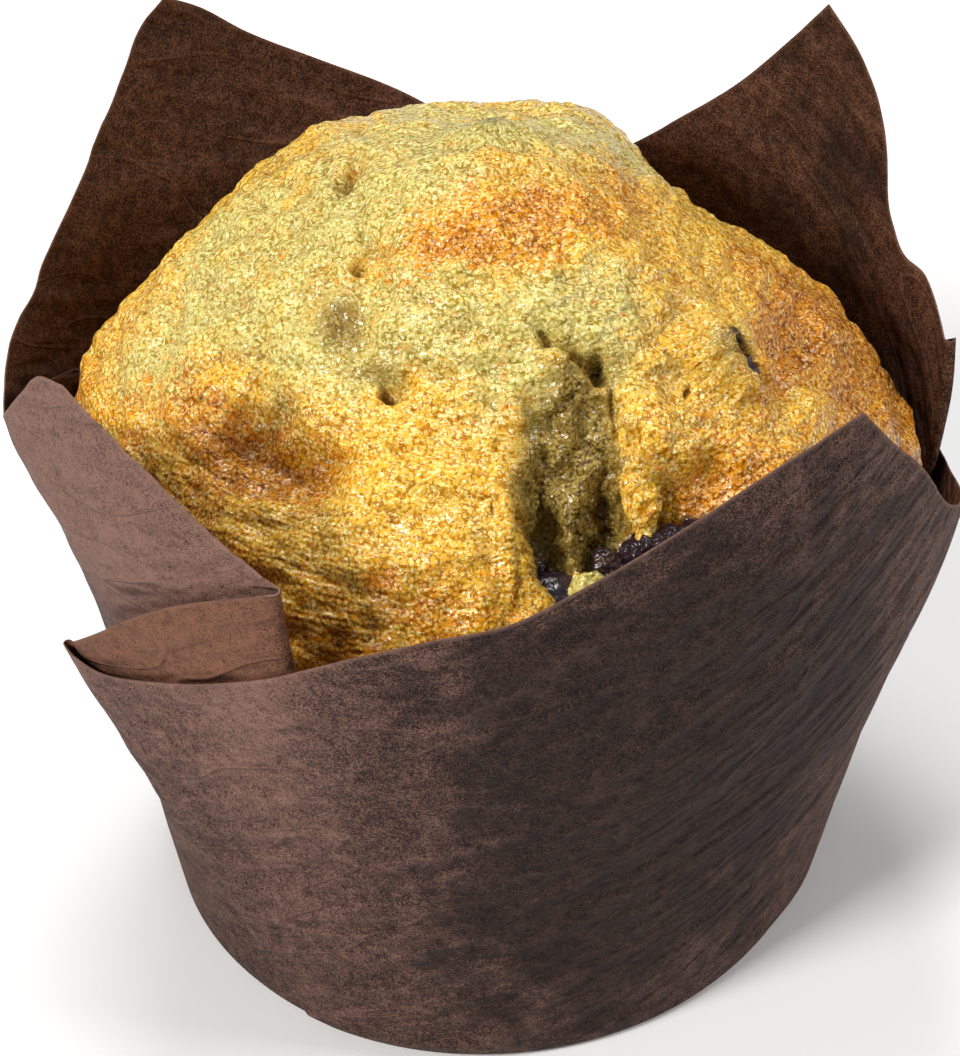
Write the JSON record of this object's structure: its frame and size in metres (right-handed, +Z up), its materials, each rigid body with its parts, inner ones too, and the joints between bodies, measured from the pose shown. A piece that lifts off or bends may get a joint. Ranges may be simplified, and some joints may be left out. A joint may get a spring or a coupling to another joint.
{
  "type": "muffin",
  "caption": "Berry muffin with a domed, cracked crown, baked in a brown paper case folded into petals.",
  "frame": {"origin": "centre of the paper case's flat underside", "axes": "+Z up; -Y is the muffin's front, where the paper's widest panel and the burst pit face; +X to the right seen from the front"},
  "size_m": [0.0805, 0.0821, 0.0731],
  "materials": {
    "crust": null,
    "paper": "matt brown baking parchment with fine fibres and darker grease patches",
    "berry": null
  },
  "bodies": {
    "root": {"muffin": "crust", "paper_case": "paper", "berry_front": "berry", "berry_left": "berry", "berry_side": "berry"}
  },
  "joints": []
}
